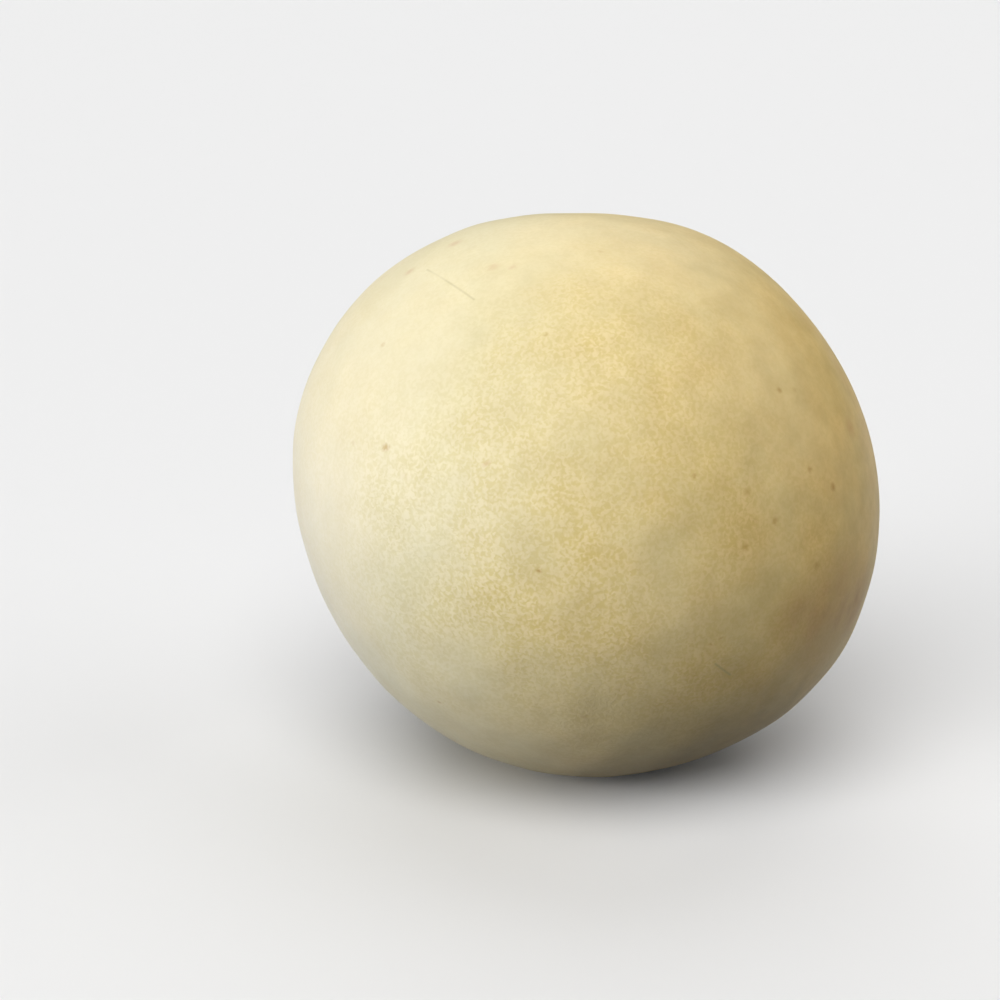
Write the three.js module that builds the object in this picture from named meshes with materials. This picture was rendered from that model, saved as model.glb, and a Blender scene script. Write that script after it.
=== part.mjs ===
// A whole honeydew melon, lying on the small flat spot that it grew against the soil.
// Millimetres, +Z up. The origin is the middle of the flat spot, on the surface it rests on.
// The melon leans along X: its blossom end is low on the +X side, its stem end high on the -X side.

import * as THREE from 'three';
import { mergeVertices } from 'three/addons/utils/BufferGeometryUtils.js';

// Overall sizes
const melonLength = 176; // stem end to blossom end
const waistDiameter = 165; // across the widest ring
const leanDegrees = 28; // how far the blossom end dips below level

// Profile from end to end, as shares of the radius
const shoulderTrim = 0.006; // the shoulders are this much slimmer than an ellipse, and the ends fuller
const blossomFullness = 0.004; // the blossom shoulder is this much fuller, and the stem shoulder slimmer

// Flat resting spot
const spotRadius = 18; // of the truly flat part
const spotBlend = 1.5; // height over which the flat turns into the round side
const spotSteadiness = 1.3; // a flat whose middle is far from the melon's middle reaches this much past it

// Stem end: a shallow dish, with a round corky pad where the stalk let go
const dishRadius = 9;
const dishDepth = 1.8;
const padRadius = 5;
const padHeight = 0.9;
const padEdge = 1.4; // width of the slope round the pad

// Blossom end: a low swelling, with a small round scar sunk in its middle
const noseRadius = 10;
const noseHeight = 0.4;
const scarRadius = 3.2;
const scarDepth = 0.4;
const scarEdge = 1.2; // width of the slope round the scar

// Gentle swells and flats of a fruit that grew unevenly. Each has its middle in degrees from the
// blossom end and in degrees round from the top towards the front, its spread in degrees, and its
// height in millimetres.
const swells = [
  { fromBlossom: 95, round: -20, spread: 17, height: 0.9 },
  { fromBlossom: 120, round: -20, spread: 17, height: -1.0 },
  { fromBlossom: 145, round: -20, spread: 17, height: 0.2 },
  { fromBlossom: 70, round: -20, spread: 17, height: -0.2 },
  { fromBlossom: 12, round: 160, spread: 17, height: 0.3 },
  { fromBlossom: 35, round: 160, spread: 17, height: -0.8 },
  { fromBlossom: 165, round: 160, spread: 17, height: 0.4 },
  { fromBlossom: 70, round: 75, spread: 24, height: 0.5 },
  { fromBlossom: 118, round: 110, spread: 22, height: -0.6 },
  { fromBlossom: 62, round: 262, spread: 26, height: -0.8 },
  { fromBlossom: 112, round: 235, spread: 24, height: 0.8 },
  { fromBlossom: 136, round: 300, spread: 20, height: -0.5 },
];

// Mesh of the rind: rings run round the melon from end to end, closer together near the ends
const sidesRound = 60;
const ringsAlong = 48;
const ringCrowding = 0.55; // 0 spaces the rings evenly, and towards 1 they gather at the ends

const lean = THREE.MathUtils.degToRad(leanDegrees);
const towardsBlossom = new THREE.Vector3(Math.cos(lean), 0, -Math.sin(lean));
const towardsTop = new THREE.Vector3(Math.sin(lean), 0, Math.cos(lean));
const towardsFront = new THREE.Vector3(0, -1, 0);

// Unit direction out of the middle of the melon, from two angles in radians
function directionAt(fromBlossom, round) {
  const sideways = Math.sin(fromBlossom);
  return new THREE.Vector3()
    .addScaledVector(towardsBlossom, Math.cos(fromBlossom))
    .addScaledVector(towardsTop, sideways * Math.cos(round))
    .addScaledVector(towardsFront, sideways * Math.sin(round));
}

// Radius of the plain oval, which is the same all the way round
function ovalRadius(fromBlossom) {
  const halfLength = melonLength / 2 / (1 + shoulderTrim);
  const halfWaist = waistDiameter / 2 / (1 + shoulderTrim);
  const ellipse = 1 / Math.hypot(Math.cos(fromBlossom) / halfLength, Math.sin(fromBlossom) / halfWaist);
  const trim = shoulderTrim * Math.cos(4 * fromBlossom);
  const fullness = -blossomFullness * Math.cos(3 * fromBlossom);
  return ellipse * (1 + trim + fullness);
}

const swellMiddles = swells.map((swell) => directionAt(
  THREE.MathUtils.degToRad(swell.fromBlossom),
  THREE.MathUtils.degToRad(swell.round),
));

function swellHeight(direction) {
  let height = 0;
  swells.forEach((swell, index) => {
    const away = THREE.MathUtils.radToDeg(direction.angleTo(swellMiddles[index]));
    height += swell.height * Math.exp(-((away / swell.spread) ** 2));
  });
  return height;
}

// 1 inside a round patch, 0 outside it, with a smooth slope of the given width at its edge
function patch(distance, radius, edge) {
  return 1 - THREE.MathUtils.smoothstep(distance, radius - edge / 2, radius + edge / 2);
}

function stemEndHeight(distance) {
  const dish = -dishDepth * Math.exp(-((distance / dishRadius) ** 2));
  return dish + padHeight * patch(distance, padRadius, padEdge);
}

function blossomEndHeight(distance) {
  const nose = noseHeight * Math.exp(-((distance / noseRadius) ** 2));
  return nose - scarDepth * patch(distance, scarRadius, scarEdge);
}

// The rind before it is set down: a point relative to the middle of the melon
function rindPoint(fromBlossom, round) {
  const direction = directionAt(fromBlossom, round);
  const fromStemEnd = (Math.PI - fromBlossom) * melonLength / 2;
  const fromBlossomEnd = fromBlossom * melonLength / 2;
  const radius = ovalRadius(fromBlossom) + swellHeight(direction)
    + stemEndHeight(fromStemEnd) + blossomEndHeight(fromBlossomEnd);
  return direction.multiplyScalar(radius);
}

// The lowest point of the leaning oval, found along its underside
function findLowest() {
  const step = Math.PI / 720;
  let lowest = rindPoint(0, Math.PI);
  for (let fromBlossom = step; fromBlossom < Math.PI; fromBlossom += step) {
    const point = rindPoint(fromBlossom, Math.PI);
    if (point.z < lowest.z) lowest = point;
  }
  return lowest;
}

// Height after the underside is flattened: unchanged above the blend, exactly 0 below it
function settledHeight(height) {
  if (height >= spotBlend) return height;
  if (height <= -spotBlend) return 0;
  return (height + spotBlend) ** 2 / (4 * spotBlend);
}

function makeRind() {
  const geometry = new THREE.SphereGeometry(1, sidesRound, ringsAlong);
  geometry.deleteAttribute('normal');
  geometry.deleteAttribute('uv');

  const lowest = findLowest();
  const spotReach = Math.max(spotRadius, spotSteadiness * Math.abs(lowest.x));
  const flattening = spotReach ** 2 / waistDiameter + spotBlend;
  const middle = new THREE.Vector3(-lowest.x, 0, -lowest.z - flattening);

  const position = geometry.attributes.position;
  const unit = new THREE.Vector3();
  for (let index = 0; index < position.count; index += 1) {
    unit.fromBufferAttribute(position, index);
    const evenAngle = Math.acos(THREE.MathUtils.clamp(unit.y, -1, 1));
    const fromBlossom = evenAngle - ringCrowding / 2 * Math.sin(2 * evenAngle);
    const point = rindPoint(fromBlossom, Math.atan2(-unit.z, unit.x)).add(middle);
    position.setXYZ(index, point.x, point.y, settledHeight(point.z));
  }

  const closed = mergeVertices(geometry, 1e-3);
  closed.computeVertexNormals();
  return closed;
}

const rindMaterial = new THREE.MeshStandardMaterial({
  color: 0xe4d3a0,
  roughness: 0.5,
  metalness: 0,
});

const melon = new THREE.Mesh(makeRind(), rindMaterial);
melon.name = 'melon';

const wholeMelon = new THREE.Group();
wholeMelon.add(melon);

export default wholeMelon;
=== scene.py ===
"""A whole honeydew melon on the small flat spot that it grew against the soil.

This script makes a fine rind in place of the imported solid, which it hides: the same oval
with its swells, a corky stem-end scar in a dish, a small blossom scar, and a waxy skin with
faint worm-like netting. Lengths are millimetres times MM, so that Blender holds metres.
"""

import math

import bmesh
import bpy
import numpy as np
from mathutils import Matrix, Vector


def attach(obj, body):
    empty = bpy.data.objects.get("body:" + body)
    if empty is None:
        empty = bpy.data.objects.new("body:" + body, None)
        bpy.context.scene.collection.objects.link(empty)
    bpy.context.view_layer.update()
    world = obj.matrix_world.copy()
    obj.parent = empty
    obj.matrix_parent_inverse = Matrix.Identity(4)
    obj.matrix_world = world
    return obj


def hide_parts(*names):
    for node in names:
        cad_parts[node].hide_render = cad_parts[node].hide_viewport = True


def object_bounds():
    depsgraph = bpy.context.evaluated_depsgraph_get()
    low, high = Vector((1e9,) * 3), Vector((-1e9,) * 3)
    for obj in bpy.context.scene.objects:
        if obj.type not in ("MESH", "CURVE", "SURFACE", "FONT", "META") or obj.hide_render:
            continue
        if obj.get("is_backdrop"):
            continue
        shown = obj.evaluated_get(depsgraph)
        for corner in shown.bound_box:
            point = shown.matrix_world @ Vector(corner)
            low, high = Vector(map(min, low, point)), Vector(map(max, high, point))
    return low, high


MM = 0.001

# ---------------------------------------------------------------- the melon's shape, as in its solid

MELON_LENGTH = 176 * MM
WAIST_DIAMETER = 165 * MM
LEAN = math.radians(28)  # how far the blossom end dips below level
SHOULDER_TRIM = 0.006
BLOSSOM_FULLNESS = 0.004

SPOT_RADIUS = 18 * MM
SPOT_BLEND = 1.5 * MM
SPOT_STEADINESS = 1.3

DISH_RADIUS = 9 * MM
DISH_DEPTH = 1.8 * MM
PAD_RADIUS = 5 * MM
PAD_HEIGHT = 0.9 * MM
PAD_EDGE = 1.4 * MM

NOSE_RADIUS = 10 * MM
NOSE_HEIGHT = 0.4 * MM
SCAR_RADIUS = 3.2 * MM
SCAR_DEPTH = 0.4 * MM
SCAR_EDGE = 1.2 * MM

# Swells and flats: degrees from the blossom end, degrees round from the top towards the front,
# spread in degrees, height in millimetres
SWELLS = (
    (95, -20, 17, 0.9),
    (120, -20, 17, -1.0),
    (145, -20, 17, 0.2),
    (70, -20, 17, -0.2),
    (12, 160, 17, 0.3),
    (35, 160, 17, -0.8),
    (165, 160, 17, 0.4),
    (70, 75, 24, 0.5),
    (118, 110, 22, -0.6),
    (62, 262, 26, -0.8),
    (112, 235, 24, 0.8),
    (136, 300, 20, -0.5),
)

# ---------------------------------------------------------------- the fine rind's own sizes

SIDES_ROUND = 80
RINGS_ALONG = 75
CUTS = 3  # more edges cut across each of those sides and rings
RING_CROWDING = 0.62  # rings gather at the ends, where the scars need them

UNEVENNESS = 0.07 * MM
DENTS_ADDED = 16
DENT_RATES = (18, 34)  # radians of a wave for each radius of the melon, from least to most
PAD_WOBBLE = 0.45 * MM
PROFILE_STEPS = 721  # quarter degrees from end to end
PIT_DEPTH = 0.45 * MM  # where the stalk's core was, in the middle of the stem scar
PIT_RADIUS = 1.7 * MM
CORK_RINGS = 0.06 * MM
CORK_LUMPS = 0.09 * MM
CORK_FADE = 1.5 * MM
CORK_MARGIN = 0.6 * MM  # how far the cork's colour runs out past its pad
CORK_BLUR = 1.8 * MM
CRACK_DEPTH = 0.3 * MM
CRACK_WIDTH = 0.15 * MM
CRACK_FADE = 1.2 * MM
CRACK_WANDER = 0.16
CRAZING_REACH = 15 * MM
CRAZING_CELLS = 170
HAIRLINE_WIDTH = 0.34 * MM
NAVEL_HEIGHT = 0.25 * MM
NAVEL_RADIUS = 0.7 * MM
RING_WIDTH = 0.6 * MM  # of the faint ring in the blossom scar

# Cracks in the stem scar: degrees round, start and end in millimetres from its middle, depth share
CRACKS = (
    (12, 2.4, 5.6, 0.9),
    (41, 3.6, 5.1, 0.4),
    (58, 2.0, 4.2, 0.7),
    (97, 3.0, 6.0, 1.0),
    (133, 2.6, 4.3, 0.5),
    (149, 3.7, 5.8, 0.6),
    (188, 2.1, 4.9, 0.9),
    (203, 3.9, 5.2, 0.4),
    (242, 2.9, 6.3, 1.0),
    (276, 2.2, 4.0, 0.5),
    (291, 3.5, 5.5, 0.7),
    (334, 2.7, 4.8, 0.8),
)

# Marks on the skin: degrees from the blossom end, degrees round, radius in millimetres, strength
SPECKS = (
    (110.5, 17.8, 1.2, 0.25),
    (142.5, 61.3, 1.3, 0.32),
    (110, 44.5, 1.1, 0.43),
    (127.3, 83.5, 1.8, 0.68),
    (135.5, 89.5, 1.2, 0.22),
    (66.4, 25.7, 1.4, 0.65),
    (63.8, 22.1, 1.2, 0.25),
    (52.1, 34, 1.5, 0.61),
    (45.1, 30.3, 1.9, 0.72),
    (72, 54.3, 1.1, 0.65),
    (61.4, 50.1, 1.8, 0.36),
    (53, 50.8, 1.6, 0.58),
    (56.8, 54, 1.3, 0.29),
    (55.7, 60, 1.7, 0.50),
    (38.1, 50.7, 1.9, 0.40),
    (87.5, 85, 1.3, 0.72),
    (49.9, 81.2, 1.1, 0.43),
    (51, 83.7, 0.9, 0.43),
    (66, 112, 1.6, 0.29),
    (92, 128, 1.1, 0.43),
    (60, 152, 1.2, 0.43),
    (95, 171, 1.1, 0.50),
    (140, 182, 1.2, 0.36),
    (120, 204, 1.6, 0.36),
    (76, 216, 1.1, 0.58),
    (41, 238, 1.9, 0.36),
    (102, 252, 1.2, 0.43),
    (131, 274, 1.6, 0.43),
    (58, 291, 1.2, 0.50),
    (86, 312, 1.1, 0.58),
    (113, 329, 1.8, 0.36),
    (31, 333, 1.2, 0.43),
    (71, 346, 1.2, 0.29),
)
RUSTY_SPOTS = (
    (142.6, 14.3, 3.0, 0.30),
    (128.7, 29.6, 2.2, 0.26),
    (124.6, 29.0, 1.8, 0.24),
    (149.5, 28.3, 2.2, 0.30),
    (106.2, 73.0, 0.9, 0.40),
    (119.8, 85.7, 0.9, 0.35),
    (48.5, 8.9, 4.5, 0.30),
    (84, 236, 3.5, 0.25),
    (108, 290, 2.4, 0.30),
    (52, 318, 3.0, 0.25),
)
BLUSHES = (
    (26, 56, 24, 1.0),
    (18, 40, 16, 1.0),
    (36, 66, 12, 0.7),
    (66, 228, 20, 0.5),
    (118, 318, 15, 0.4),
)

# Scratches: from and to, each in degrees from the blossom end and degrees round, and strength
SCRATCHES = (
    ((144.2, 30.0), (135.7, 36.9), 0.5),
    ((135.7, 36.9), (127.9, 41.3), 0.5),
    ((47.6, 88.3), (42.9, 90.7), 0.6),
    ((96, 222), (88, 231), 0.5),
    ((62, 262), (60, 271), 0.4),
)

TOWARDS_BLOSSOM = np.array([math.cos(LEAN), 0, -math.sin(LEAN)])
TOWARDS_TOP = np.array([math.sin(LEAN), 0, math.cos(LEAN)])
TOWARDS_FRONT = np.array([0, -1, 0])
TOWARDS_STRAW_SIDE = np.array([0.97, 0.16, -0.19])  # the straw side, partly ripening; the ivory other side is partly painted highlight


def direction_at(from_blossom, around):
    """Unit directions out of the middle of the melon, from arrays of two angles in radians."""
    sideways = np.sin(from_blossom)
    return (
        np.multiply.outer(np.cos(from_blossom), TOWARDS_BLOSSOM)
        + np.multiply.outer(sideways * np.cos(around), TOWARDS_TOP)
        + np.multiply.outer(sideways * np.sin(around), TOWARDS_FRONT)
    )


def oval_radius(from_blossom):
    """Radius of the plain oval, which is the same all the way round."""
    half_length = MELON_LENGTH / 2 / (1 + SHOULDER_TRIM)
    half_waist = WAIST_DIAMETER / 2 / (1 + SHOULDER_TRIM)
    ellipse = 1 / np.hypot(np.cos(from_blossom) / half_length, np.sin(from_blossom) / half_waist)
    trim = SHOULDER_TRIM * np.cos(4 * from_blossom)
    fullness = -BLOSSOM_FULLNESS * np.cos(3 * from_blossom)
    return ellipse * (1 + trim + fullness)


def swell_height(direction):
    """How far the swells and flats lift or sink the plain oval."""
    height = 0
    for from_blossom, around, spread, rise in SWELLS:
        middle = direction_at(math.radians(from_blossom), math.radians(around))
        away = np.degrees(np.arccos(np.clip(direction @ middle, -1, 1)))
        height = height + rise * MM * np.exp(-((away / spread) ** 2))
    return height


def patch(distance, radius, edge):
    """1 inside a round patch, 0 outside it, with a smooth slope of the given width at its edge."""
    across = np.clip((distance - radius + edge / 2) / edge, 0, 1)
    return 1 - across * across * (3 - 2 * across)


def pad_radius(around):
    """The edge of the stem scar wanders in and out."""
    wobble = 0.5 * np.sin(3 * around + 0.6)
    wobble = wobble + 0.3 * np.sin(5 * around + 2.1)
    wobble = wobble + 0.2 * np.sin(8 * around + 4)
    return PAD_RADIUS + PAD_WOBBLE * wobble


def cracks(distance, around):
    """1 in the bottom of the deepest cracks in the stem scar, 0 away from them."""
    depth = 0
    for angle, start, end, share in CRACKS:
        turned = around - math.radians(angle) - CRACK_WANDER * np.sin(distance / MM * 1.3 + angle)
        across = np.where(np.cos(turned) > 0, distance * np.sin(turned), 1)
        middle = (start + end) / 2 * MM
        along = patch(np.abs(distance - middle), (end - start) / 2 * MM, CRACK_FADE)
        depth = np.maximum(depth, share * along * np.exp(-((across / CRACK_WIDTH) ** 2)))
    return depth


def healed_cracks(distance, around):
    """1 along the tan hairlines that craze the skin round the stem scar, 0 away from them."""
    chance = np.random.default_rng(8)
    ways = chance.uniform(0, 2 * math.pi, CRAZING_CELLS)
    reaches = CRAZING_REACH * np.sqrt(chance.uniform(0.03, 1.2, CRAZING_CELLS))
    near = distance < CRAZING_REACH
    flat = np.stack([distance * np.cos(around), distance * np.sin(around)], axis=-1)[near]
    flat = flat + 0.4 * MM * np.sin(flat[:, ::-1] / MM * 2.1)
    seeds = np.stack([reaches * np.cos(ways), reaches * np.sin(ways)], axis=-1)
    gaps = np.sort(np.linalg.norm(flat[:, None] - seeds, axis=-1), axis=1)
    broken = np.clip(0.35 + np.sin(flat[:, 0] / MM * 1.3 + 1) * np.sin(flat[:, 1] / MM * 1.1), 0, 1)
    line = np.zeros(distance.shape)
    line[near] = broken * np.exp(-(((gaps[:, 1] - gaps[:, 0]) / HAIRLINE_WIDTH) ** 2))
    inner = 1 - patch(distance, PAD_RADIUS + 0.9 * MM, 0.8 * MM)
    return line * inner * patch(distance, CRAZING_REACH * 0.5, CRAZING_REACH)


def stem_end_height(distance, around):
    """A shallow dish with a corky pad in it, which is pitted, lumpy and cracked."""
    dish = -DISH_DEPTH * np.exp(-((distance / DISH_RADIUS) ** 2))
    pad = PAD_HEIGHT * patch(distance, pad_radius(around), PAD_EDGE)
    pit = PIT_DEPTH * np.exp(-((distance / PIT_RADIUS) ** 2))
    lumps = np.sin(4 * around + 1) * np.sin(distance / MM * 1.4)
    lumps = lumps + np.sin(7 * around) * np.sin(distance / MM * 2.3)
    cork = CORK_RINGS * np.sin(distance / MM * 4.6) + CORK_LUMPS * lumps - pit
    cork = cork * patch(distance, PAD_RADIUS, CORK_FADE)
    return dish + pad + cork - CRACK_DEPTH * cracks(distance, around)


def blossom_end_height(distance):
    """A low nose with a small sunken scar, and a tiny navel in the middle of it."""
    nose = NOSE_HEIGHT * np.exp(-((distance / NOSE_RADIUS) ** 2))
    navel = NAVEL_HEIGHT * np.exp(-((distance / NAVEL_RADIUS) ** 2))
    return nose + navel - SCAR_DEPTH * patch(distance, SCAR_RADIUS, SCAR_EDGE)


def blossom_scar(distance, around):
    """How brown the blossom scar is: a faint ring round a fainter disc, and its navel."""
    ring_radius = SCAR_RADIUS + 0.35 * MM * np.sin(3 * around + 1) + 0.2 * MM * np.sin(7 * around)
    ring = np.exp(-(((distance - ring_radius) / RING_WIDTH) ** 2)) * (0.4 + 0.25 * np.sin(2 * around))
    disc = 0.3 * patch(distance, ring_radius, 1.5 * MM)
    navel = 0.75 * patch(distance, 0.8 * MM, 1.0 * MM)
    return np.maximum(np.maximum(ring, disc), navel)


def unevenness(direction):
    """Gentle dents and rises that a hand can just feel, 15 to 30 mm apart."""
    chance = np.random.default_rng(41)
    height = 0
    for _ in range(DENTS_ADDED):
        way = chance.normal(size=3)
        waves = chance.uniform(*DENT_RATES) / np.linalg.norm(way)
        height = height + np.cos(direction @ way * waves + chance.uniform(0, 2 * math.pi))
    return UNEVENNESS * height / 3


def rind_point(from_blossom, around):
    """Points of the rind relative to the middle of the melon, before it is set down."""
    direction = direction_at(from_blossom, around)
    height = (
        oval_radius(from_blossom)
        + swell_height(direction)
        + stem_end_height((math.pi - from_blossom) * MELON_LENGTH / 2, around)
        + blossom_end_height(from_blossom * MELON_LENGTH / 2)
    )
    return direction * np.asarray(height)[..., None]


def middle_of_melon():
    """Where the middle is when the lowest point is pressed flat at the origin."""
    underside = rind_point(np.linspace(0, math.pi, PROFILE_STEPS), math.pi)
    lowest = underside[underside[:, 2].argmin()]
    reach = max(SPOT_RADIUS, SPOT_STEADINESS * abs(lowest[0]))
    return np.array([-lowest[0], 0, -lowest[2] - reach**2 / WAIST_DIAMETER - SPOT_BLEND])


def settled_height(height):
    """Heights after the underside is flattened: unchanged above the blend, 0 below it."""
    blended = (height + SPOT_BLEND) ** 2 / (4 * SPOT_BLEND)
    return np.where(height >= SPOT_BLEND, height, np.where(height <= -SPOT_BLEND, 0, blended))


def spots(direction, list_of_spots):
    """Soft round spots on the skin: the given strength in the middle, fading out at the radius."""
    strength = 0
    for from_blossom, around, radius, most in list_of_spots:
        middle = direction_at(math.radians(from_blossom), math.radians(around))
        away = np.arccos(np.clip(direction @ middle, -1, 1)) * WAIST_DIAMETER / 2
        strength = np.maximum(strength, most * patch(away, radius / 2 * MM, radius * MM))
    return strength


def make_rind():
    """The fine rind: a ball of quads pushed out to the melon's surface and pressed flat below."""
    shape = bmesh.new()
    bmesh.ops.create_uvsphere(shape, u_segments=SIDES_ROUND, v_segments=RINGS_ALONG, radius=1)
    bmesh.ops.subdivide_edges(shape, edges=shape.edges[:], cuts=CUTS, use_grid_fill=True)
    mesh = bpy.data.meshes.new("melon_rind")
    shape.to_mesh(mesh)
    shape.free()

    ball = np.empty(len(mesh.vertices) * 3)
    mesh.vertices.foreach_get("co", ball)
    ball = ball.reshape(-1, 3)
    even_angle = np.arctan2(np.hypot(ball[:, 0], ball[:, 1]), ball[:, 2])
    from_blossom = even_angle - RING_CROWDING / 2 * np.sin(2 * even_angle)
    around = np.arctan2(-ball[:, 0], ball[:, 1])
    direction = direction_at(from_blossom, around)
    place = rind_point(from_blossom, around) + direction * unevenness(direction)[:, None]
    place = place + middle_of_melon()
    place[:, 2] = settled_height(place[:, 2])
    mesh.vertices.foreach_set("co", place.ravel())
    mesh.shade_smooth()

    from_stem = (math.pi - from_blossom) * MELON_LENGTH / 2
    wear = {
        "blush": spots(direction, BLUSHES),
        "rust": spots(direction, RUSTY_SPOTS),
        "healed": healed_cracks(from_stem, around),
        "cork": patch(from_stem, pad_radius(around) + CORK_MARGIN, CORK_BLUR),
        "crack": cracks(from_stem, around),
        "blossom_scar": blossom_scar(from_blossom * MELON_LENGTH / 2, around),
    }
    for name, values in wear.items():
        mesh.attributes.new(name, "FLOAT", "POINT").data.foreach_set("value", values)

    rind = bpy.data.objects.new("melon_rind", mesh)
    bpy.context.scene.collection.objects.link(rind)
    return rind


def colour(hex_value):
    """An sRGB hex colour as the linear colour that a shader takes."""
    shares = [int(hex_value[start:start + 2], 16) / 255 for start in (1, 3, 5)]
    linear = [s / 12.92 if s <= 0.04045 else ((s + 0.055) / 1.055) ** 2.4 for s in shares]
    return (*linear, 1)


def add(tree, kind, links=None, **settings):
    """Adds a node with its settings, then fills its inputs from nodes, sockets or plain values."""
    node = tree.nodes.new(kind)
    for name, value in settings.items():
        setattr(node, name, value)
    for socket, source in (links or {}).items():
        if isinstance(source, bpy.types.Node):
            source = next(output for output in source.outputs if output.enabled)
        if isinstance(source, bpy.types.NodeSocket):
            tree.links.new(source, node.inputs[socket])
        else:
            node.inputs[socket].default_value = source
    return node


def material(name):
    """An empty material that a shader is then built in."""
    made = bpy.data.materials.new(name)
    made.use_nodes = True
    made.node_tree.nodes.clear()
    return made


# Sizes of the skin's patterns, in millimetres
DRIFT_SIZE = 45
CLOUD_SIZE = 20
PATCH_SIZE = 9
RIDGE_SPACING = 2.2
PEEL_SIZE = 1.4
CORK_GRAIN = 0.9
RAGGEDNESS = 0.8
SCRATCH_WIDTH = 0.5
SOIL_SPOT_EDGE = (36.0, 22.0)  # where the colour of the soil spot starts, and where it is full
GREENING_EDGE = (24.0, 6.0)  # the same for the greener skin round the stem scar

BUMP_HEIGHT = 0.03 * MM
WAX_IOR = 1.45
WAX_ROUGHNESS = 0.46
GAP_ROUGHNESS = 0.55
CORK_EXTRA_ROUGHNESS = 0.35

# Ground colours from ivory, partly painted highlight where the lamps fall, to straw, partly ripening
RIPENING_AND_HIGHLIGHT = (
    (0.03, "#F3EACF"),
    (0.24, "#E3D9B4"),
    (0.44, "#E5D4A3"),
    (0.65, "#ECD59C"),
    (0.95, "#EACB82"),
)
# Painted light: this tint lifts the lower half paler and less yellow
PAINTED_UNDERLIGHT = "#F5EFDB"
CLOUD_TINTS = ("#EFF0EA", "#FFFBF2")
PATCH_TINTS = ("#F0ECE2", "#FFFFFF")
SPECK_TINT = "#D0B070"
BLUSH_TINT = "#D6C2B6"
GAP_TINT = "#EDEACA"
RUST = "#B5702F"
SCRATCHED_WAX = "#B5A878"
SOIL_SPOT = "#E9D083"
GREEN_SKIN = "#C9C48E"
HEALED_CRACK = "#C4B07F"
CORKS = ("#8E7650", "#C6B086")
OPEN_CRACK = "#5F4A30"
BLOSSOM_SCAR = "#9B7B4E"

MIX = "ShaderNodeMix"
NOISE = "ShaderNodeTexNoise"
RANGE = "ShaderNodeMapRange"
MATH = "ShaderNodeMath"
VECTOR = "ShaderNodeVectorMath"
ATTRIBUTE = "ShaderNodeAttribute"

# Settings of a Mix node: a colour laid over another, one that tints it, and one that lifts it
OVER = {"data_type": "RGBA"}
TINTING = {"data_type": "RGBA", "blend_type": "MULTIPLY"}
LIFTING = {"data_type": "RGBA", "blend_type": "DIVIDE"}

FACTOR, FIRST, SECOND = 0, 6, 7  # the colour inputs of a Mix node
VALUE, LOW, HIGH, TO_LOW, TO_HIGH = 0, 1, 2, 3, 4  # the inputs of a Map Range node


def point_on_rind(from_blossom, around):
    """A point of the skin in millimetres, from two angles in degrees."""
    point = rind_point(math.radians(from_blossom), math.radians(around)) + middle_of_melon()
    return Vector(point / MM)


def marks(tree, skin, list_of_marks):
    """Round marks at chosen places: their strength in the middle, fading to 0 at their radius."""
    total = None
    for from_blossom, around, radius, strength in list_of_marks:
        middle = point_on_rind(from_blossom, around)
        away = add(tree, VECTOR, {0: skin, 1: middle}, operation="DISTANCE")
        mark = add(tree, RANGE, {
            VALUE: away,
            LOW: radius,
            HIGH: 0.0,
            TO_HIGH: strength,
        }, interpolation_type="SMOOTHSTEP")
        total = mark if total is None else add(tree, MATH, {0: total, 1: mark}, operation="MAXIMUM")
    return total


def scratches(tree, skin, width):
    """Thin straight marks between pairs of places."""
    total = None
    for start, end, strength in SCRATCHES:
        start = point_on_rind(*start)
        path = point_on_rind(*end) - start
        offset = add(tree, VECTOR, {0: skin, 1: start}, operation="SUBTRACT")
        along = add(tree, VECTOR, {0: offset, 1: path.normalized()}, operation="DOT_PRODUCT")
        share = add(tree, RANGE, {VALUE: along, HIGH: path.length, TO_HIGH: path.length})
        nearest = add(tree, VECTOR, {0: path.normalized(), "Scale": share}, operation="SCALE")
        away = add(tree, VECTOR, {0: offset, 1: nearest}, operation="DISTANCE")
        mark = add(tree, RANGE, {VALUE: away, LOW: width, HIGH: 0.0, TO_HIGH: strength})
        total = mark if total is None else add(tree, MATH, {0: total, 1: mark}, operation="MAXIMUM")
    return total


def ripened_and_highlit(tree, direction, ripeness_and_highlight):
    """Ground colour from ivory, through cream, to straw: partly ripening, and partly painted
    highlight on the ivory side that the strongest lamps light. The lower half is made a little
    paler by painted light.
    """
    ground = add(tree, "ShaderNodeValToRGB", {0: ripeness_and_highlight})
    stops = ground.color_ramp.elements
    for position, _ in RIPENING_AND_HIGHLIGHT[1:-1]:
        stops.new(position)
    for stop, (position, shade) in zip(stops, RIPENING_AND_HIGHLIGHT):
        stop.position = position
        stop.color = colour(shade)
    # Painted light: the lower half is made paler and less yellow
    below = add(tree, VECTOR, {0: direction, 1: (0, 0, -1)}, operation="DOT_PRODUCT")
    share = add(tree, RANGE, {VALUE: below, LOW: -0.45, HIGH: 0.75})
    return add(tree, MIX, {FACTOR: share, FIRST: ground, SECOND: colour(PAINTED_UNDERLIGHT)}, **LIFTING)


def mottled(tree, skin_colour, amount, clouds, patches):
    """Soft warm and green-grey clouds, and smaller patches that vary in depth."""
    for pattern, low, high, tints in (
        (clouds, 0.32, 0.68, CLOUD_TINTS),
        (patches, 0.3, 0.7, PATCH_TINTS),
    ):
        share = add(tree, RANGE, {VALUE: pattern, LOW: low, HIGH: high})
        tint = add(tree, MIX, {
            FACTOR: share,
            FIRST: colour(tints[0]),
            SECOND: colour(tints[1]),
        }, **OVER)
        skin_colour = add(tree, MIX, {FACTOR: amount, FIRST: skin_colour, SECOND: tint}, **TINTING)
    return skin_colour


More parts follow.
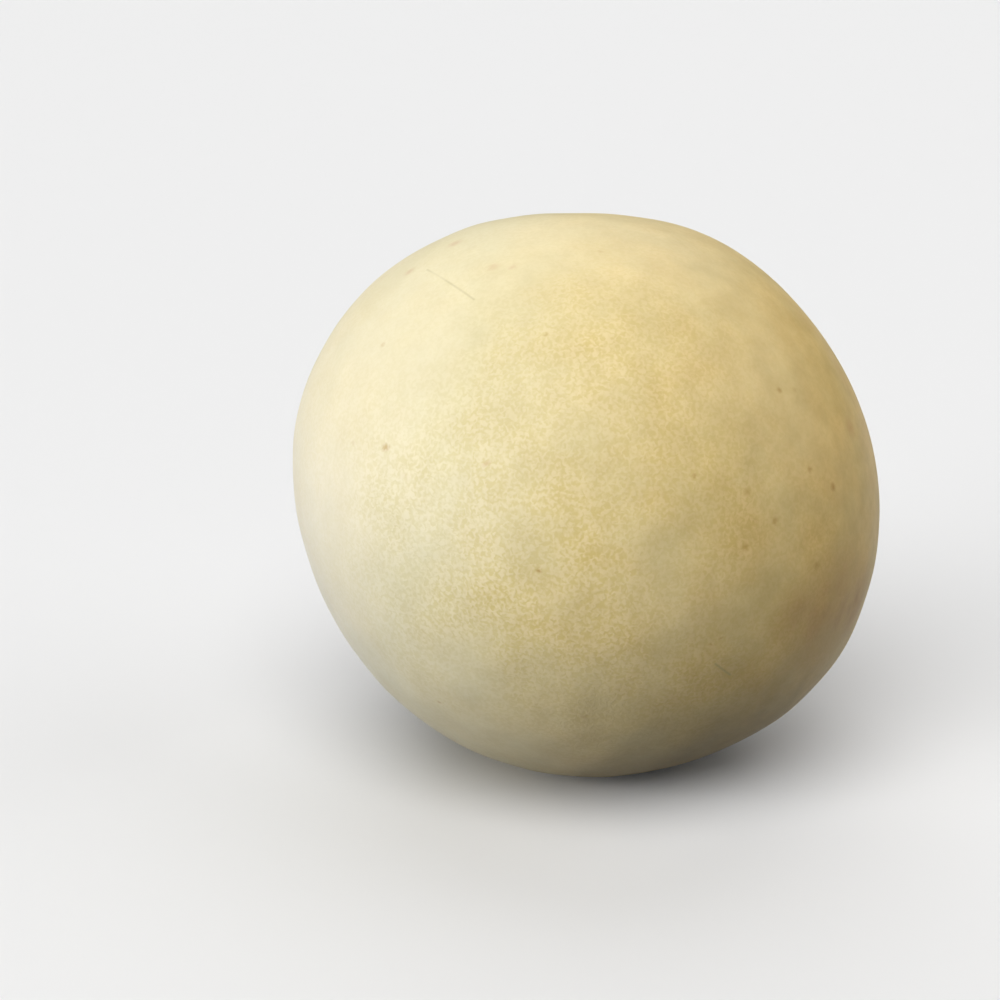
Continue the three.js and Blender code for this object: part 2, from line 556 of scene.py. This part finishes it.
def worn(tree, skin_colour, skin, moved, patches):
    """Blushes, rusty spots, scratches, specks and the spot that lay on the soil."""
    blush = add(tree, ATTRIBUTE, attribute_name="blush").outputs["Fac"]
    broken = add(tree, RANGE, {VALUE: patches, LOW: 0.35, HIGH: 0.62, TO_LOW: 0.35, TO_HIGH: 1.0})
    blush = add(tree, MATH, {0: blush, 1: broken}, operation="MULTIPLY")
    rust = add(tree, ATTRIBUTE, attribute_name="rust").outputs["Fac"]
    scratched = scratches(tree, skin, SCRATCH_WIDTH)
    specks = marks(tree, moved, SPECKS)
    from_spot = add(tree, VECTOR, {0: moved}, operation="LENGTH")
    start, full = SOIL_SPOT_EDGE
    spot = add(tree, RANGE, {VALUE: from_spot, LOW: start, HIGH: full, TO_HIGH: 0.7})
    for amount, shade, settings in (
        (blush, BLUSH_TINT, TINTING),
        (rust, RUST, OVER),
        (scratched, SCRATCHED_WAX, OVER),
        (specks, SPECK_TINT, TINTING),
        (spot, SOIL_SPOT, OVER),
    ):
        links = {FACTOR: amount, FIRST: skin_colour, SECOND: colour(shade)}
        skin_colour = add(tree, MIX, links, **settings)
    return skin_colour


def scarred(tree, skin_colour, moved, cork, grain):
    """Greener crazed skin round the stem scar, its dry cork and dark cracks, and the blossom scar."""
    from_stem = add(tree, VECTOR, {0: moved, 1: point_on_rind(180, 0)}, operation="DISTANCE")
    start, full = GREENING_EDGE
    near_stem = add(tree, RANGE, {VALUE: from_stem, LOW: start, HIGH: full, TO_HIGH: 0.45})
    healed = add(tree, ATTRIBUTE, attribute_name="healed").outputs["Fac"]
    crack = add(tree, ATTRIBUTE, attribute_name="crack").outputs["Fac"]
    scar = add(tree, ATTRIBUTE, attribute_name="blossom_scar").outputs["Fac"]
    grain_share = add(tree, RANGE, {VALUE: grain, LOW: 0.35, HIGH: 0.65})
    cork_colour = add(tree, MIX, {
        FACTOR: grain_share,
        FIRST: colour(CORKS[0]),
        SECOND: colour(CORKS[1]),
    }, **OVER)
    for amount, shade in (
        (near_stem, colour(GREEN_SKIN)),
        (healed, colour(HEALED_CRACK)),
        (cork, cork_colour),
        (crack, colour(OPEN_CRACK)),
        (scar, colour(BLOSSOM_SCAR)),
    ):
        skin_colour = add(tree, MIX, {FACTOR: amount, FIRST: skin_colour, SECOND: shade}, **OVER)
    return skin_colour


def rind_material():
    """Waxy melon skin as it grew.

    A satin wax skin, so highlights are broad and weak. Its colour drifts from ivory to straw across
    the melon: partly its own ripening, and partly painted highlight, as the ivory side is the one
    that the strongest lamps light. Short worm-like ridges about 2.2 mm apart, paler than the
    olive-tan gaps between them, catch the light on the flanks and fade towards the ends. Specks,
    rusty spots and scratches are scattered over it. The stem scar is dry matt cork.
    """
    made = material("honeydew_rind")
    tree = made.node_tree
    place = add(tree, "ShaderNodeTexCoord").outputs["Object"]
    skin = add(tree, VECTOR, {0: place, "Scale": 1 / MM}, operation="SCALE")
    outward = add(tree, VECTOR, {0: skin, 1: middle_of_melon() / MM}, operation="SUBTRACT")
    direction = add(tree, VECTOR, {0: outward}, operation="NORMALIZE")
    # How far towards the straw side; the ivory away from it is partly painted highlight
    straw_side = add(tree, VECTOR, {0: direction, 1: Vector(TOWARDS_STRAW_SIDE)}, operation="DOT_PRODUCT")

    # The natural patterns that the rest is made from
    drift = add(tree, NOISE, {"Vector": skin, "Scale": 1 / DRIFT_SIZE, "Detail": 2.0})
    clouds = add(tree, NOISE, {
        "Vector": skin,
        "Scale": 1 / CLOUD_SIZE,
        "Detail": 3.0,
        "Roughness": 0.55,
    })
    patches = add(tree, NOISE, {
        "Vector": skin,
        "Scale": 1 / PATCH_SIZE,
        "Detail": 2.0,
        "Roughness": 0.6,
    })
    worms = add(tree, NOISE, {
        "Vector": skin,
        "Scale": 2 / RIDGE_SPACING,  # this noise has a rise about every second cell
        "Detail": 0.0,
        "Distortion": 0.7,
    })
    peel = add(tree, NOISE, {"Vector": skin, "Scale": 1 / PEEL_SIZE, "Detail": 1.0})
    grain = add(tree, NOISE, {
        "Vector": skin,
        "Scale": 1 / CORK_GRAIN,
        "Detail": 4.0,
        "Roughness": 0.65,
    })

    # Ivory to straw: partly ripening, partly painted highlight on the side the strongest lamps light
    drifted = add(tree, MATH, {0: drift, 1: 0.5, 2: straw_side}, operation="MULTIPLY_ADD")
    ripeness_and_highlight = add(tree, RANGE, {VALUE: drifted, LOW: -0.75, HIGH: 1.25})
    amount = add(tree, RANGE, {VALUE: straw_side, LOW: -0.7, HIGH: 0.8, TO_LOW: 0.3, TO_HIGH: 1.0})
    skin_colour = ripened_and_highlit(tree, direction, ripeness_and_highlight)
    skin_colour = mottled(tree, skin_colour, amount, clouds, patches)

    # Netting: strong on both flanks, faint on the top, below and towards both ends, and uneven
    ridges = add(tree, RANGE, {VALUE: worms, LOW: 0.32, HIGH: 0.68})
    flank_way = Vector(direction_at(math.radians(84), math.radians(76)))
    flank = add(tree, VECTOR, {0: direction, 1: flank_way}, operation="DOT_PRODUCT")
    flank = add(tree, MATH, {0: flank}, operation="ABSOLUTE")
    flank = add(tree, MATH, {0: drift, 1: 0.7, 2: flank}, operation="MULTIPLY_ADD")
    where = add(tree, RANGE, {VALUE: flank, LOW: 0.9, HIGH: 1.36, TO_LOW: 0.26, TO_HIGH: 1.1})
    uneven = add(tree, RANGE, {VALUE: clouds, LOW: 0.3, HIGH: 0.7, TO_LOW: 0.5, TO_HIGH: 0.95})
    netting = add(tree, MATH, {0: where, 1: uneven}, operation="MULTIPLY")
    gaps = add(tree, MATH, {0: 1.0, 1: ridges}, operation="SUBTRACT")
    gap_share = add(tree, MATH, {0: gaps, 1: netting}, operation="MULTIPLY")
    gap_links = {FACTOR: gap_share, FIRST: skin_colour, SECOND: colour(GAP_TINT)}
    skin_colour = add(tree, MIX, gap_links, **TINTING)

    # The edges of marks are ragged, because the place they are measured from is moved about
    shift = 2 * RAGGEDNESS
    moved = add(tree, VECTOR, {0: peel, 1: (shift, -shift, shift), 2: skin}, operation="MULTIPLY_ADD")
    centred = (RAGGEDNESS, -RAGGEDNESS, RAGGEDNESS)
    moved = add(tree, VECTOR, {0: moved, 1: centred}, operation="SUBTRACT")
    cork = add(tree, ATTRIBUTE, attribute_name="cork").outputs["Fac"]
    skin_colour = worn(tree, skin_colour, skin, moved, patches)
    skin_colour = scarred(tree, skin_colour, moved, cork, grain)

    # Relief: ridges of the netting, a fine orange-peel, and the grain of the cork
    relief = add(tree, MATH, {0: ridges, 1: where}, operation="MULTIPLY")
    relief = add(tree, MATH, {0: peel, 1: 0.5, 2: relief}, operation="MULTIPLY_ADD")
    relief = add(tree, MATH, {0: cork, 1: grain, 2: relief}, operation="MULTIPLY_ADD")
    bump = add(tree, "ShaderNodeBump", {"Strength": 1.0, "Distance": BUMP_HEIGHT, "Height": relief})

    # Wax is satin, duller in the gaps of its netting, and cork is quite matt
    dullness = add(tree, RANGE, {
        VALUE: gap_share,
        TO_LOW: WAX_ROUGHNESS,
        TO_HIGH: GAP_ROUGHNESS,
    })
    rough = {0: cork, 1: CORK_EXTRA_ROUGHNESS, 2: dullness}
    roughness = add(tree, MATH, rough, operation="MULTIPLY_ADD")
    shader = add(tree, "ShaderNodeBsdfPrincipled", {
        "Base Color": skin_colour,
        "Roughness": roughness,
        "IOR": WAX_IOR,
        "Normal": bump,
    })
    add(tree, "ShaderNodeOutputMaterial", {"Surface": shader})
    return made


FLOOR_RADIUS = 12000 * MM
FLOOR_SIDES = 96
PAPER = "#E7E7E7"
PAPER_ROUGHNESS = 0.9


def make_floor():
    """Rolled white paper: matt, so it takes a soft shadow and shows no gloss."""
    shape = bmesh.new()
    bmesh.ops.create_circle(shape, cap_ends=True, segments=FLOOR_SIDES, radius=FLOOR_RADIUS)
    mesh = bpy.data.meshes.new("floor")
    shape.to_mesh(mesh)
    shape.free()
    floor = bpy.data.objects.new("floor", mesh)
    bpy.context.scene.collection.objects.link(floor)
    made = material("white_paper_floor")
    tree = made.node_tree
    shader = add(tree, "ShaderNodeBsdfPrincipled", {
        "Base Color": colour(PAPER),
        "Roughness": PAPER_ROUGHNESS,
    })
    add(tree, "ShaderNodeOutputMaterial", {"Surface": shader})
    mesh.materials.append(made)
    floor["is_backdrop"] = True
    floor.visible_diffuse = False  # it throws no soft light back on the melon


VIEW_AZIMUTH = math.radians(13)
VIEW_ELEVATION = math.radians(18)
VIEW_DISTANCE = 800 * MM
LENS = 97.8
SENSOR_WIDTH = 36
NEAREST_SEEN = 50 * MM
FURTHEST_SEEN = 100000 * MM
AIM_SIDEWAYS = -24.9 * MM
AIM_UP = -3.7 * MM

# Suns: name, its way sideways, upwards and towards the camera, strength, spread in degrees
SUNS = (
    ("key", (-0.1, 0.6, 0.8), 2.1, 50),
    ("left", (-0.85, -0.12, 0.5), 3.75, 50),
    ("top", (0.0, 0.9, -0.4), 1.1, 60),
    ("right", (0.85, 0.52, 0.1), 0.85, 60),
)
WALLS = "#FFFFFF"
WALL_BRIGHTNESS = 0.87


def view_axes():
    """The camera's right, up and back directions."""
    right = Vector((math.cos(VIEW_AZIMUTH), math.sin(VIEW_AZIMUTH), 0))
    back = Vector((
        math.sin(VIEW_AZIMUTH) * math.cos(VIEW_ELEVATION),
        -math.cos(VIEW_AZIMUTH) * math.cos(VIEW_ELEVATION),
        math.sin(VIEW_ELEVATION),
    ))
    return right, back.cross(right), back


def aim(thing, place, target):
    """Puts a camera or a lamp at a place and turns it towards a target."""
    thing.location = place
    thing.rotation_euler = (place - target).to_track_quat("Z", "Y").to_euler()


def make_camera(box):
    """A long lens in front of the melon, which stands a little right of the middle of the frame."""
    right, up, back = view_axes()
    middle = (Vector(box[0]) + Vector(box[1])) / 2
    lens = bpy.data.cameras.new("camera")
    lens.lens = LENS
    lens.sensor_width = SENSOR_WIDTH
    lens.clip_start = NEAREST_SEEN
    lens.clip_end = FURTHEST_SEEN
    camera = bpy.data.objects.new("camera", lens)
    bpy.context.scene.collection.objects.link(camera)
    aim(camera, middle + back * VIEW_DISTANCE, middle + right * AIM_SIDEWAYS + up * AIM_UP)
    bpy.context.scene.camera = camera


def make_sun(name, way, strength, spread):
    """A very wide soft white light, placed by its direction as the camera sees it."""
    right, up, back = view_axes()
    sideways, upwards, towards_camera = way
    lamp = bpy.data.lights.new(name, "SUN")
    lamp.energy = strength
    lamp.angle = math.radians(spread)
    sun = bpy.data.objects.new(name, lamp)
    bpy.context.scene.collection.objects.link(sun)
    place = right * sideways + up * upwards + back * towards_camera
    aim(sun, place, Vector((0, 0, 0)))


def make_world():
    """Pale studio walls: seen behind the floor, but they don't light the melon."""
    world = bpy.data.worlds.new("studio")
    world.use_nodes = True
    background = world.node_tree.nodes["Background"]
    background.inputs["Color"].default_value = colour(WALLS)
    background.inputs["Strength"].default_value = WALL_BRIGHTNESS
    world.cycles_visibility.diffuse = False
    world.cycles_visibility.glossy = False
    bpy.context.scene.world = world


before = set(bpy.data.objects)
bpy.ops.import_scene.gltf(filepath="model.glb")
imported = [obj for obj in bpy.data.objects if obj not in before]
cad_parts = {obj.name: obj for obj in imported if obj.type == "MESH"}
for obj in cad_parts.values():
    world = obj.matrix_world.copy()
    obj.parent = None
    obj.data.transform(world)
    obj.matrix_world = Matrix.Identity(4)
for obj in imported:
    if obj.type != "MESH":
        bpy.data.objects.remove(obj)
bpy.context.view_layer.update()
rind = make_rind()
rind.data.materials.append(rind_material())
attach(rind, "root")
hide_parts("melon")
make_floor()
make_camera(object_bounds())
for sun in SUNS:
    make_sun(*sun)
make_world()
bpy.context.scene.view_settings.view_transform = "Standard"
